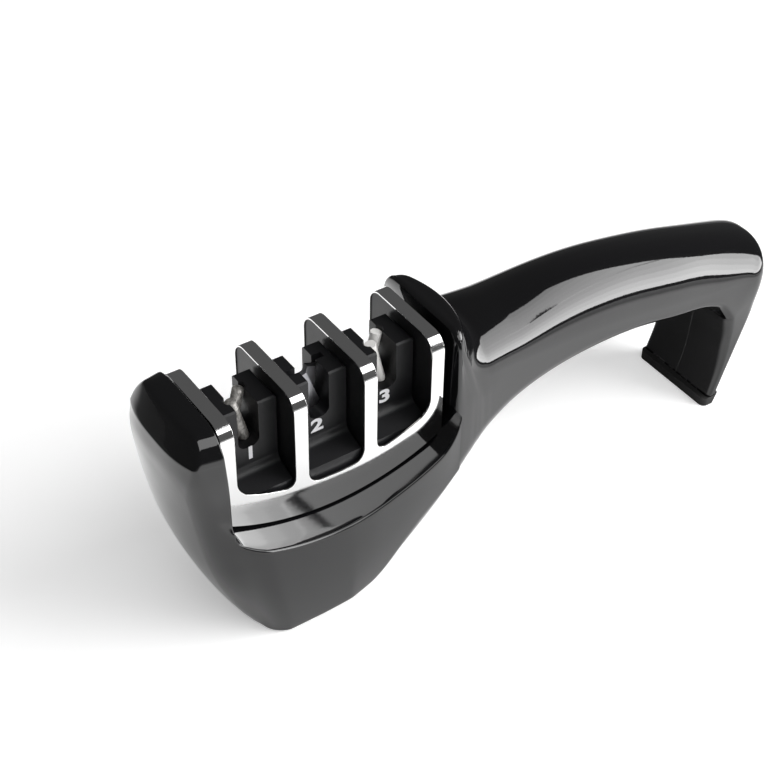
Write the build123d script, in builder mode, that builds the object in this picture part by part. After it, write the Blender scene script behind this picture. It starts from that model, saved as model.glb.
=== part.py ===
from build123d import *
import math
import os

# Pull-through knife sharpener: a head with three sharpening stages on an arched handle.
# Millimetres, +Z up. X runs from the nose (-X) to the tail of the handle (+X), Y runs across,
# and the origin is the middle of the object's length, on the surface that it stands on.

# Whole object
overall_length = 214.0
nose_tip = -overall_length / 2
overrun = 1.0
fit_gap = 0.15
shell_wall = 2.6

# Steel sleeve and the stages under its windows
stages = 3
band_width = 4.2
window_width = 18.2
sleeve_setback = 12.4
sleeve_width = 31.8
sleeve_top = 77.3
sleeve_corner = 5.3
sleeve_sheet = 0.6
smile_radius = 75.0
smile_low = 34.1
window_rise = 10.5
window_corner = 3.6
sleeve_start = nose_tip + sleeve_setback
sleeve_length = stages * window_width + (stages + 1) * band_width
sleeve_end = sleeve_start + sleeve_length
sleeve_middle = (sleeve_start + sleeve_end) / 2
smile_centre = smile_low + smile_radius
stage_pitch = window_width + band_width
block_shift = 0.4
window_starts = [sleeve_start + band_width + stage_pitch * n for n in range(stages)]
stage_middles = [start + window_width / 2 + block_shift for start in window_starts]

# Ledge that the sleeve stands over
ledge_gap = 0.7
ledge_width = 53.0

# Nose
nose_gap = 0.4
nose_back = sleeve_start - nose_gap
nose_root = 12.0
nose_top = 78.0
nose_crease = 69.5
nose_crease_width = 39.0
nose_crown_setback = 4.6
nose_lean = 16.6
nose_corner = 4.5
nose_bow = 2.6
# Height, lean, width, corner and bow of the nose, level by level from the table to the crease
nose_level_shares = [
    (0.02, 1.00, 1.11, 0.90, 1.00),
    (0.20, 0.62, 1.10, 1.00, 0.80),
    (0.45, 0.31, 1.09, 1.10, 0.60),
    (0.70, 0.12, 1.07, 1.10, 0.50),
    (1.00, 0.00, 1.00, 1.00, 0.45),
]
# Height, setback and width of the crown of the nose, from the crease to the flat top
nose_crown_shares = [
    (0.00, 0.00, 1.00),
    (0.50, 0.50, 0.91),
    (0.86, 0.94, 0.80),
    (1.00, 1.40, 0.64),
]

# Collar behind the sleeve
collar_gap = 2.8
collar_front = sleeve_end + collar_gap
collar_length = 6.7
collar_back = collar_front + collar_length
collar_top = 78.2
collar_width = 37.4
collar_foot_width = 39.6
collar_foot = 40.0
collar_rounding = 6.2
collar_edge = 0.8
collar_ramp = 5.6
clear_height = nose_top + collar_top

# Hull under the ledge, from the rim on the table up to where the handle leaves it
base_rim = 0.4
hull_top = 47.0
# Height, front, bow, corner, beam, knee, waist, width there, quarter, width there and stern:
# heights are shares of the hull's height, widths of the ledge's width, lengths of the whole length
hull_level_shares = [
    (0.00, 0.084, 0.014, 0.020, 0.917, 0.201, 0.234, 0.894, 0.266, 0.834, 0.360),
    (0.29, 0.068, 0.010, 0.021, 0.981, 0.173, 0.266, 0.928, 0.341, 0.811, 0.397),
    (0.50, 0.058, 0.007, 0.020, 0.996, 0.164, 0.290, 0.913, 0.395, 0.770, 0.435),
    (0.66, 0.053, 0.005, 0.019, 1.000, 0.160, 0.304, 0.906, 0.426, 0.728, 0.467),
    (0.88, 0.049, 0.004, 0.018, 1.000, 0.160, 0.355, 0.849, 0.486, 0.664, 0.531),
    (1.00, 0.049, 0.004, 0.018, 1.000, 0.160, 0.355, 0.849, 0.509, 0.622, 0.550),
]

# Handle and leg
handle_start = collar_front + collar_edge
handle_reach = overall_length / 2 - handle_start
handle_crest = 69.7
handle_width = 34.0
handle_shoulder = 10.0
handle_heel = 3.4
leg_thickness = 9.5
# Stations of the handle, each with top reach and height, setback and height of the underside,
# width above and below, shoulder and heel: the setback is a share of the leg's thickness
beam_shares = [
    (0.000, 0.988, 0.000, 0.480, 1.01, 1.13, 0.90, 1.00),
    (0.095, 0.991, 0.000, 0.530, 0.98, 1.10, 0.95, 1.00),
    (0.190, 0.996, 0.000, 0.600, 0.95, 1.02, 1.00, 1.00),
    (0.320, 1.000, 0.000, 0.650, 0.90, 0.93, 1.00, 1.00),
    (0.500, 0.988, 0.000, 0.662, 0.88, 0.90, 1.00, 1.00),
    (0.640, 0.947, 0.134, 0.628, 0.88, 0.90, 1.00, 1.00),
]
tail_shares = [
    (0.780, 0.892, 0.400, 0.612, 0.90, 0.92, 1.00, 1.00),
    (0.885, 0.842, 1.000, 0.600, 0.92, 0.94, 1.00, 1.00),
]
turn_shares = [
    (0.955, 0.785, 1.533, 0.570, 0.93, 0.94, 0.95, 1.00),
    (0.995, 0.683, 1.773, 0.528, 0.94, 0.95, 0.85, 1.00),
    (0.9984, 0.590, 1.684, 0.485, 0.94, 0.95, 0.75, 1.00),
    (0.976, 0.460, 1.386, 0.440, 0.94, 0.95, 0.60, 1.00),
]
leg_shares = [
    (0.942, 0.280, 1.000, 0.270, 0.94, 0.95, 0.50, 0.90),
    (0.908, 0.130, 0.693, 0.130, 0.94, 0.95, 0.40, 0.60),
    (0.883, 0.046, 0.533, 0.046, 0.94, 0.95, 0.30, 0.40),
]
leg_tip_shares = leg_shares[-1]

# Cartridge frame in its pocket, with a cross wall under every band of the sleeve
tray_floor = 24.0
tray_deck = 44.4
tray_width = 28.8
tray_wall = 2.0
wall_width = sleeve_width - 2 * (sleeve_sheet + fit_gap)
wall_rounding = sleeve_corner - sleeve_sheet - fit_gap
band_overhang = 0.3
tray_start = sleeve_start + 2 * band_overhang
tray_end = sleeve_end - 2 * band_overhang
wall_starts = [sleeve_start + stage_pitch * n + band_overhang for n in range(stages + 1)]
wall_thickness = band_width - 2 * band_overhang
wall_top = sleeve_top - sleeve_sheet

# Stage blocks on the deck, each with a slot for the knife
block_top = 73.2
block_width = 13.9
block_clearance = 0.7
block_length = window_width - 2 * block_clearance
block_bevel = 0.5
lip_height = 4.2
skirt_rise = 2.4
skirt_radius = 3.0
slot_width = 6.6
slot_bottom = 58.9
slot_rounding = 2.6
slot_shift = 0.5
slot_middles = [middle - slot_shift for middle in stage_middles]

# Crossed sharpening rods and blades
crossing_height = 63.0
rod_diameter = 3.4
rod_tilt = 14.0
rod_offset = 1.9
rod_low = 50.0
rod_high = 72.4
blade_width = 4.4
blade_thickness = 1.8
blade_tilt = 20.0
blade_offset = 1.05
blade_low = 54.0
blade_high = 71.0

# Screws
screw_diameter = 3.0
head_diameter = 5.6
head_height = 1.6
boss_diameter = 7.0
base_screw_inset = 16.532
base_screw_margin = 11.3
base_screw_length = 14.0
frame_screw_gauge = 12.0
frame_screw_length = 12.0

# Dowels between the two shells
dowel_diameter = 4.0
dowel_reach = 4.0
dowel_boss_diameter = 8.0
# Reach and height of each dowel
dowel_shares = [
    (0.033, 0.700),
    (0.590, 0.800),
    (0.760, 0.790),
    (0.935, 0.640),
]

# Feet
pad_thickness = 1.2
plate_thickness = 2.4
foot_lip = 1.9
foot_tuck = 1.3
foot_corner = 2.0


def upright_section(reach, top, foot, top_width, foot_width, rounding):
    """Section across the object at one reach, tapering from its foot to its top."""
    with BuildSketch(Plane.YZ.offset(reach)) as section:
        with BuildLine():
            Polyline(
                (-foot_width / 2, foot),
                (foot_width / 2, foot),
                (top_width / 2, top),
                (-top_width / 2, top),
                close=True,
            )
        make_face()
        fillet(section.vertices().sort_by(Axis.Y)[-2:], rounding)
    return section.sketch


def front_corner(reach, flank, radius, hand):
    """Quarter round in plan from a front face to the side on one hand."""
    diagonal = radius / math.sqrt(2)
    ThreePointArc(
        (reach - radius, hand * flank),
        (reach - diagonal, hand * (flank + diagonal)),
        (reach, hand * (flank + radius)),
    )


def nose_level(height, front, width, corner, bow):
    """One level of the nose in plan: bowed front, rounded front corners, square back."""
    side = width / 2
    flank = side - corner
    shoulder_reach = front + bow + corner
    back = nose_back + nose_root
    with BuildSketch(Plane.XY.offset(height)) as level:
        with BuildLine():
            ThreePointArc((front + bow, flank), (front, 0), (front + bow, -flank))
            front_corner(shoulder_reach, flank, corner, -1)
            Line((shoulder_reach, -side), (back, -side))
            Line((back, -side), (back, side))
            Line((back, side), (shoulder_reach, side))
            front_corner(shoulder_reach, flank, corner, 1)
        make_face()
    return level.sketch


def hull_flank(knee_reach, side, waist_reach, waist_side, quarter_reach, quarter_side, hand):
    """Side of the hull in plan, from the straight beam through the waist to the quarter."""
    Spline(
        (knee_reach, hand * side),
        (waist_reach, hand * waist_side),
        (quarter_reach, hand * quarter_side),
        tangents=((1, 0), (quarter_reach - waist_reach, hand * (quarter_side - waist_side))),
    )


def hull_plan(shares, height, inset):
    """The hull in plan at one height: bowed front, straight beam, narrowing boat stern."""
    front, bow, corner, beam, knee, waist, waist_width, quarter, quarter_width, stern = shares[1:]
    front_reach = nose_tip + overall_length * front + inset
    bow_reach = front_reach + overall_length * bow
    corner_radius = overall_length * corner - inset
    side = ledge_width / 2 * beam - inset
    knee_reach = nose_tip + overall_length * knee
    waist_reach = nose_tip + overall_length * waist
    waist_side = ledge_width / 2 * waist_width - inset
    quarter_reach = nose_tip + overall_length * quarter - inset
    quarter_side = ledge_width / 2 * quarter_width - inset
    stern_reach = nose_tip + overall_length * stern - 2 * inset
    flank = side - corner_radius
    shoulder_reach = bow_reach + corner_radius
    with BuildSketch(Plane.XY.offset(height)) as level:
        with BuildLine():
            ThreePointArc((bow_reach, flank), (front_reach, 0), (bow_reach, -flank))
            front_corner(shoulder_reach, flank, corner_radius, -1)
            Line((shoulder_reach, -side), (knee_reach, -side))
            hull_flank(knee_reach, side, waist_reach, waist_side, quarter_reach, quarter_side, -1)
            ThreePointArc(
                (quarter_reach, -quarter_side),
                (stern_reach, 0),
                (quarter_reach, quarter_side),
            )
            hull_flank(knee_reach, side, waist_reach, waist_side, quarter_reach, quarter_side, 1)
            Line((knee_reach, side), (shoulder_reach, side))
            front_corner(shoulder_reach, flank, corner_radius, 1)
        make_face()
    return level.sketch


def hull_levels(inset):
    """Levels of the hull from the rim on the table upwards."""
    return [
        hull_plan(shares, base_rim + (hull_top - base_rim) * shares[0], inset)
        for shares in hull_level_shares
    ]


def handle_ends(shares):
    """Point of the top and point of the underside that one station of the handle runs through."""
    top_reach, top_height, setback, low_height = shares[:4]
    top_x = handle_start + handle_reach * top_reach
    return top_x, handle_crest * top_height, top_x - leg_thickness * setback, handle_crest * low_height


def handle_station(shares, inset):
    """Section of the handle in the plane through its two ends."""
    top_x, top_z, low_x, low_z = handle_ends(shares)
    top_width, low_width, shoulder, heel = shares[4:]
    depth = math.hypot(top_x - low_x, top_z - low_z)
    across = Vector(0, 1, 0)
    upward = Vector(top_x - low_x, 0, top_z - low_z).normalized()
    plane = Plane(origin=(low_x, 0, low_z), x_dir=across, z_dir=across.cross(upward))
    top_side = handle_width / 2 * top_width - inset
    low_side = handle_width / 2 * low_width - inset
    with BuildSketch(plane) as station:
        with BuildLine():
            Polyline(
                (-low_side, inset),
                (low_side, inset),
                (top_side, depth - inset),
                (-top_side, depth - inset),
                close=True,
            )
        make_face()
        fillet(station.vertices().sort_by(Axis.Y)[:2], (handle_heel - inset) * heel)
        fillet(station.vertices().sort_by(Axis.Y)[-2:], handle_shoulder * shoulder - inset)
    return station.sketch


def handle_lofts(inset, leg):
    """Handle down to the last of the leg's stations, run by run so that each run stays fair."""
    joint = []
    for run in (beam_shares, tail_shares, turn_shares, leg):
        loft([handle_station(shares, inset) for shares in joint + run])
        joint = run[-1:]


def ledge_height(reach):
    """Height of the smiling ledge at one reach."""
    radius = smile_radius + ledge_gap
    return smile_centre - math.sqrt(radius**2 - (reach - sleeve_middle) ** 2)


def over_ledge(start, end, drop):
    """Block of space over the ledge between two reaches, lowered by a drop."""
    middle = (start + end) / 2
    with BuildPart() as space:
        with BuildSketch(Plane.XZ.offset(-ledge_width)):
            with BuildLine():
                ThreePointArc(
                    (start, ledge_height(start) - drop),
                    (middle, ledge_height(middle) - drop),
                    (end, ledge_height(end) - drop),
                )
                Polyline(
                    (end, ledge_height(end) - drop),
                    (end, clear_height),
                    (start, clear_height),
                    (start, ledge_height(start) - drop),
                )
            make_face()
        extrude(amount=2 * ledge_width)
    return space.part


# Outer form of the body: hull under the ledge, nose, collar, handle and leg
with BuildPart() as hull:
    loft(hull_levels(0))
    add(over_ledge(nose_back - nose_root, collar_front, 0), mode=Mode.SUBTRACT)

nose_levels = [
    nose_level(
        nose_crease * height_share,
        nose_tip + nose_lean * lean_share,
        nose_crease_width * width_share,
        nose_corner * corner_share,
        nose_bow * bow_share,
    )
    for height_share, lean_share, width_share, corner_share, bow_share in nose_level_shares
]
crown_levels = [
    nose_level(
        nose_crease + (nose_top - nose_crease) * height_share,
        nose_tip + nose_crown_setback * setback_share,
        nose_crease_width * width_share,
        nose_corner,
        nose_bow * nose_level_shares[-1][-1],
    )
    for height_share, setback_share, width_share in nose_crown_shares
]
with BuildPart() as nose:
    loft(nose_levels)
    loft(crown_levels)
    add(over_ledge(nose_back, collar_front, 0), mode=Mode.SUBTRACT)

with BuildPart() as handle:
    handle_lofts(0, leg_shares)

with BuildPart() as collar:
    extrude(
        upright_section(
            collar_front, collar_top, collar_foot, collar_width, collar_foot_width, collar_rounding
        ),
        amount=collar_length,
        dir=(1, 0, 0),
    )
    loft(
        [
            upright_section(
                collar_back, collar_top, collar_foot, collar_width, collar_foot_width, collar_rounding
            ),
            upright_section(
                collar_back + collar_ramp,
                handle_crest,
                collar_foot,
                handle_width,
                collar_foot_width - 2 * collar_edge,
                collar_rounding,
            ),
        ]
    )

# Inside of the shells, with the walls of the pocket, the bosses and the dowel bosses left standing
plate_top = pad_thickness + plate_thickness
base_front = nose_tip + overall_length * hull_level_shares[0][1]
base_stern = nose_tip + overall_length * hull_level_shares[0][-1]
base_beam = ledge_width * hull_level_shares[0][4]
base_screw_places = [
    (place, (base_beam / 2 - base_screw_margin) * across)
    for place in (base_front + base_screw_inset, base_stern - base_screw_inset)
    for across in (-1, 1)
]
dowel_places = [
    (nose_tip + overall_length * reach_share, nose_top * height_share)
    for reach_share, height_share in dowel_shares
]
pocket_width = tray_width + 2 * fit_gap
with BuildPart() as cavity:
    loft(hull_levels(shell_wall))
    handle_lofts(shell_wall, leg_shares[:1])
    add(over_ledge(nose_back - shell_wall, collar_front + shell_wall, shell_wall), mode=Mode.SUBTRACT)
    with BuildSketch(Plane.XY.offset(tray_floor - shell_wall)):
        with Locations(((nose_back + collar_front) / 2, 0)):
            Rectangle(collar_front - nose_back + 2 * shell_wall, pocket_width + 2 * shell_wall)
    extrude(amount=hull_top, mode=Mode.SUBTRACT)
    with BuildSketch(Plane.XY.offset(plate_top)):
        with Locations(base_screw_places):
            Circle(boss_diameter / 2)
    extrude(amount=tray_floor, mode=Mode.SUBTRACT)
    with BuildSketch(Plane.XZ.offset(-ledge_width)):
        with Locations(dowel_places):
            Circle(dowel_boss_diameter / 2)
    extrude(amount=2 * ledge_width, mode=Mode.SUBTRACT)

frame_screw_places = [
    (wall_starts[n] + wall_thickness / 2, frame_screw_gauge / 2 * across)
    for n, across in ((1, 1), (stages - 1, -1))
]
with BuildPart() as body:
    add(hull.part)
    add(nose.part)
    add(handle.part)
    add(collar.part)
    add(cavity.part, mode=Mode.SUBTRACT)
    with BuildSketch(Plane.XY.offset(tray_floor)):
        with Locations((sleeve_middle, 0)):
            Rectangle(tray_end - tray_start + 2 * fit_gap, pocket_width)
    extrude(amount=hull_top, mode=Mode.SUBTRACT)
    with BuildSketch(Plane.XY.offset(plate_top)):
        with Locations(base_screw_places):
            Circle(screw_diameter / 2 + fit_gap)
    extrude(amount=base_screw_length, mode=Mode.SUBTRACT)
    with BuildSketch(Plane.XY.offset(tray_floor)):
        with Locations(frame_screw_places):
            Circle(screw_diameter / 2 + fit_gap)
    extrude(amount=-shell_wall - overrun, mode=Mode.SUBTRACT)
    with BuildSketch(Plane.XY.offset(tray_floor - shell_wall)):
        with Locations(frame_screw_places):
            Circle(head_diameter / 2 + fit_gap)
    extrude(amount=-head_height - fit_gap, mode=Mode.SUBTRACT)

# Left and right shells, joined along the middle by dowels
with BuildPart() as body_shell_left:
    add(body.part)
    split(bisect_by=Plane.XZ, keep=Keep.TOP)
    with BuildSketch(Plane.XZ.offset(overrun)):
        with Locations(dowel_places):
            Circle(dowel_diameter / 2)
    extrude(amount=-dowel_reach - overrun)
with BuildPart() as body_shell_right:
    add(body.part)
    split(bisect_by=Plane.XZ, keep=Keep.BOTTOM)
    with BuildSketch(Plane.XZ):
        with Locations(dowel_places):
            Circle(dowel_diameter / 2 + fit_gap)
    extrude(amount=-dowel_reach - fit_gap, mode=Mode.SUBTRACT)

# Steel sleeve: a folded sheet over the cross walls, with a window over every stage
with BuildPart() as steel_cover:
    with BuildSketch(Plane.YZ.offset(sleeve_start)) as sleeve_section:
        with BuildLine():
            side = sleeve_width / 2
            Polyline((-side, 0), (side, 0), (side, sleeve_top), (-side, sleeve_top), close=True)
        make_face()
        fillet(sleeve_section.vertices().sort_by(Axis.Y)[-2:], sleeve_corner)
        with BuildLine():
            side = sleeve_width / 2 - sleeve_sheet
            Polyline((-side, 0), (side, 0), (side, wall_top), (-side, wall_top), close=True)
        bore = make_face(mode=Mode.PRIVATE)
        bore_corners = bore.vertices().sort_by(Axis.Y)[-2:]
        add(bore.face().fillet_2d(sleeve_corner - sleeve_sheet, bore_corners), mode=Mode.SUBTRACT)
    extrude(amount=sleeve_length)
    with BuildSketch(Plane.XZ.offset(-ledge_width)):
        with Locations((sleeve_middle, smile_centre)):
            Circle(smile_radius)
        with Locations((sleeve_middle, smile_centre)):
            Rectangle(sleeve_length + 2 * overrun, 2 * smile_radius, mode=Mode.INTERSECT)
    extrude(amount=2 * ledge_width, mode=Mode.INTERSECT)
    for start in window_starts:
        window_radius = smile_radius - window_rise
        reaches = (start, start + window_width / 2, start + window_width)
        heights = [
            smile_centre - math.sqrt(window_radius**2 - (reach - sleeve_middle) ** 2) for reach in reaches
        ]
        with BuildSketch(Plane.XZ.offset(-ledge_width)) as window:
            with BuildLine():
                ThreePointArc(*zip(reaches, heights))
                Polyline(
                    (reaches[2], heights[2]),
                    (reaches[2], sleeve_top + overrun),
                    (reaches[0], sleeve_top + overrun),
                    (reaches[0], heights[0]),
                )
            make_face()
            fillet(window.vertices().sort_by(Axis.Y)[:2], window_corner)
        extrude(amount=2 * ledge_width, mode=Mode.SUBTRACT)

# Cartridge frame: hollow tray, cross walls and screw bosses
with BuildPart() as cartridge_frame:
    with BuildSketch(Plane.XY.offset(tray_floor)):
        with Locations((sleeve_middle, 0)):
            Rectangle(tray_end - tray_start, tray_width)
    extrude(amount=tray_deck - tray_floor)
    with BuildSketch(Plane.XY.offset(tray_floor)):
        with Locations((sleeve_middle, 0)):
            Rectangle(tray_end - tray_start - 2 * tray_wall, tray_width - 2 * tray_wall)
        with Locations(frame_screw_places):
            Circle(boss_diameter / 2, mode=Mode.SUBTRACT)
    extrude(amount=tray_deck - tray_floor - tray_wall, mode=Mode.SUBTRACT)
    for start in wall_starts:
        with BuildSketch(Plane.YZ.offset(start)) as wall:
            with BuildLine():
                side = wall_width / 2
                Polyline(
                    (-side, tray_deck),
                    (side, tray_deck),
                    (side, wall_top),
                    (-side, wall_top),
                    close=True,
                )
            make_face()
            fillet(wall.vertices().sort_by(Axis.Y)[-2:], wall_rounding)
        extrude(amount=wall_thickness)
    with BuildSketch(Plane.XY.offset(tray_floor)):
        with Locations(frame_screw_places):
            Circle(screw_diameter / 2 + fit_gap)
    extrude(amount=frame_screw_length, mode=Mode.SUBTRACT)


def tilted_plane(middle, offset, low, tilt):
    """Plane at the low end of a tilted rod or blade that passes through the crossing."""
    lean = math.radians(tilt)
    start = middle - (crossing_height - low) * math.tan(lean)
    along = (math.sin(lean), 0, math.cos(lean))
    return Plane(origin=(start, offset, low), x_dir=(math.cos(lean), 0, -math.sin(lean)), z_dir=along)


def rod(middle, hand, clearance, length):
    """Sharpening rod, or its bore when a clearance is given."""
    with BuildPart() as piece:
        with BuildSketch(tilted_plane(middle, -hand * rod_offset, rod_low, -hand * rod_tilt)):
            Circle(rod_diameter / 2 + clearance)
        extrude(amount=length)
    return piece.part


def blade(middle, hand, clearance, length):
    """Sharpening blade, or its groove when a clearance is given."""
    with BuildPart() as piece:
        with BuildSketch(tilted_plane(middle, -hand * blade_offset, blade_low, -hand * blade_tilt)):
            Rectangle(blade_width + 2 * clearance, blade_thickness + 2 * clearance)
        extrude(amount=length)
    return piece.part


def stage_block(number, seat):
    """Matt block with a skirt, a knife slot and the seats for its pair of rods or blades."""
    middle = stage_middles[number]
    half = block_width / 2
    edge = tray_width / 2
    lip = tray_deck + lip_height
    with BuildPart() as block:
        with BuildSketch(Plane.YZ.offset(middle - block_length / 2)) as profile:
            with BuildLine():
                Polyline(
                    (-edge, tray_deck),
                    (edge, tray_deck),
                    (edge, lip),
                    (half, lip + skirt_rise),
                    (half, block_top),
                    (-half, block_top),
                    (-half, lip + skirt_rise),
                    (-edge, lip),
                    close=True,
                )
            make_face()
            inner_corners = profile.vertices().filter_by_position(
                Axis.Y, lip + skirt_rise - fit_gap, lip + skirt_rise + fit_gap
            )
            fillet(inner_corners, skirt_radius)
        extrude(amount=block_length)
        top_face = block.faces().sort_by(Axis.Z)[-1]
        chamfer(top_face.edges(), block_bevel)
        with BuildSketch(Plane.XZ.offset(-edge)) as slot:
            with BuildLine():
                Polyline(
                    (slot_middles[number] - slot_width / 2, slot_bottom),
                    (slot_middles[number] + slot_width / 2, slot_bottom),
                    (slot_middles[number] + slot_width / 2, block_top + overrun),
                    (slot_middles[number] - slot_width / 2, block_top + overrun),
                    close=True,
                )
            make_face()
            fillet(slot.vertices().sort_by(Axis.Y)[:2], slot_rounding)
        extrude(amount=2 * edge, mode=Mode.SUBTRACT)
        for hand in (-1, 1):
            add(seat(slot_middles[number], hand, fit_gap, block_top), mode=Mode.SUBTRACT)
    return block.part


rod_length = (rod_high - rod_low) / math.cos(math.radians(rod_tilt))
blade_length = (blade_high - blade_low) / math.cos(math.radians(blade_tilt))


def screw(place, seat_height, length):
    """Screw that points up, with a flat head under the height that it seats at."""
    with BuildPart() as piece:
        with BuildSketch(Plane.XY.offset(seat_height)):
            with Locations(place):
                Circle(head_diameter / 2)
        extrude(amount=-head_height)
        with BuildSketch(Plane.XY.offset(seat_height)):
            with Locations(place):
                Circle(screw_diameter / 2)
        extrude(amount=length)
    return piece.part


# Plate that closes the hull from below, with counterbores for its screws, and the pad under it
plate_inset = shell_wall + fit_gap
with BuildPart() as base_plate:
    extrude(hull_plan(hull_level_shares[0], pad_thickness, plate_inset), amount=plate_thickness)
    with BuildSketch(Plane.XY.offset(pad_thickness)):
        with Locations(base_screw_places):
            Circle(head_diameter / 2 + fit_gap)
    extrude(amount=head_height, mode=Mode.SUBTRACT)
    with BuildSketch(Plane.XY.offset(pad_thickness)):
        with Locations(base_screw_places):
            Circle(screw_diameter / 2 + fit_gap)
    extrude(amount=plate_thickness, mode=Mode.SUBTRACT)
with BuildPart() as base_pad:
    extrude(hull_plan(hull_level_shares[0], 0, plate_inset), amount=pad_thickness)

# Pad under the leg, with a lip in front of it
foot_rear, foot_level, leg_front, leg_level = handle_ends(leg_tip_shares)
foot_front = leg_front - foot_lip
foot_width = handle_width * leg_tip_shares[5]
with BuildPart() as foot_pad:
    for height, rear in ((0, foot_rear - foot_tuck), (foot_level, foot_rear)):
        with BuildSketch(Plane.XY.offset(height)) as foot_plan:
            with Locations(((foot_front + rear) / 2, 0)):
                RectangleRounded(rear - foot_front, foot_width, foot_corner)
    loft()

os.makedirs("parts", exist_ok=True)
solids = {
    "body_shell_left": body_shell_left.part,
    "body_shell_right": body_shell_right.part,
    "steel_cover": steel_cover.part,
    "cartridge_frame": cartridge_frame.part,
    "stage_block_1": stage_block(0, rod),
    "stage_block_2": stage_block(1, blade),
    "stage_block_3": stage_block(2, rod),
    "diamond_rod_front": rod(slot_middles[0], 1, 0, rod_length),
    "diamond_rod_rear": rod(slot_middles[0], -1, 0, rod_length),
    "carbide_blade_front": blade(slot_middles[1], 1, 0, blade_length),
    "carbide_blade_rear": blade(slot_middles[1], -1, 0, blade_length),
    "ceramic_rod_front": rod(slot_middles[2], 1, 0, rod_length),
    "ceramic_rod_rear": rod(slot_middles[2], -1, 0, rod_length),
    "base_plate": base_plate.part,
    "base_pad": base_pad.part,
    "foot_pad": foot_pad.part,
}
for number, place in enumerate(base_screw_places, 1):
    solids[f"base_screw_{number}"] = screw(
        place, pad_thickness + head_height, base_screw_length - fit_gap
    )
for number, place in enumerate(frame_screw_places, 1):
    solids[f"frame_screw_{number}"] = screw(
        place, tray_floor - shell_wall, frame_screw_length + shell_wall - fit_gap
    )
for node_name, solid in solids.items():
    solid.label = node_name
    export_step(solid, "parts/" + node_name + ".step")
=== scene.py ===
import math

import bpy
import bmesh
import numpy as np
from bpy.props import FloatProperty, FloatVectorProperty, PointerProperty
from mathutils import Matrix, Vector


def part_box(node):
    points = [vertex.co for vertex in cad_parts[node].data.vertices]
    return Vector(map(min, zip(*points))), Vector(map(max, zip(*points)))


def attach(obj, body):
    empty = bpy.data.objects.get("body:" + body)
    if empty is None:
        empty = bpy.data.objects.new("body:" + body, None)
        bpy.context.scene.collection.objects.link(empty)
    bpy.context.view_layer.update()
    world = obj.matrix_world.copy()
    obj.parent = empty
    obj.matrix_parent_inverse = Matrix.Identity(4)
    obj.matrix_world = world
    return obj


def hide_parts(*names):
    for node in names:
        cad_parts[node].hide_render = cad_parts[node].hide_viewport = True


bl_info = {
    "name": "Pull-through knife sharpener",
    "version": (1, 0, 0),
    "blender": (4, 5, 0),
    "location": "View3D > Sidebar > Sharpener",
    "description": "Dresses the frame of a pull-through knife sharpener and sets its stage",
    "category": "Object",
}

MM = 0.001
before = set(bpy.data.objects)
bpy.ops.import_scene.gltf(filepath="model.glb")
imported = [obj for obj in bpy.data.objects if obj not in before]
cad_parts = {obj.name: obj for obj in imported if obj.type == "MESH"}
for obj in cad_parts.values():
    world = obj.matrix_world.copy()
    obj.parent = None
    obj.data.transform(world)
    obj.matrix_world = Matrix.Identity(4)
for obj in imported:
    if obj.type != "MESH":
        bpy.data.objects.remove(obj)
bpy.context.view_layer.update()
cover_low, cover_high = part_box("steel_cover")


class Wire:
    """A socket of a shader tree that takes part in sums."""

    def __init__(self, tree, socket):
        self.tree = tree
        self.socket = socket

    def sum_with(self, kind, *others, swapped=False):
        node = self.tree.nodes.new("ShaderNodeMath")
        node.operation = kind
        terms = (self, *others)
        if swapped:
            terms = (others[0], self)
        for place, term in zip(node.inputs, terms):
            if isinstance(term, Wire):
                self.tree.links.new(term.socket, place)
            else:
                place.default_value = term
        return Wire(self.tree, node.outputs[0])

    def __add__(self, other):
        return self.sum_with("ADD", other)

    __radd__ = __add__

    def __mul__(self, other):
        return self.sum_with("MULTIPLY", other)

    __rmul__ = __mul__

    def __sub__(self, other):
        return self.sum_with("SUBTRACT", other)

    def __rsub__(self, other):
        return self.sum_with("SUBTRACT", other, swapped=True)

    def __truediv__(self, other):
        return self.sum_with("DIVIDE", other)

    def __rtruediv__(self, other):
        return self.sum_with("DIVIDE", other, swapped=True)

    def __lt__(self, other):
        return self.sum_with("LESS_THAN", other)

    def __gt__(self, other):
        return self.sum_with("GREATER_THAN", other)


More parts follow.
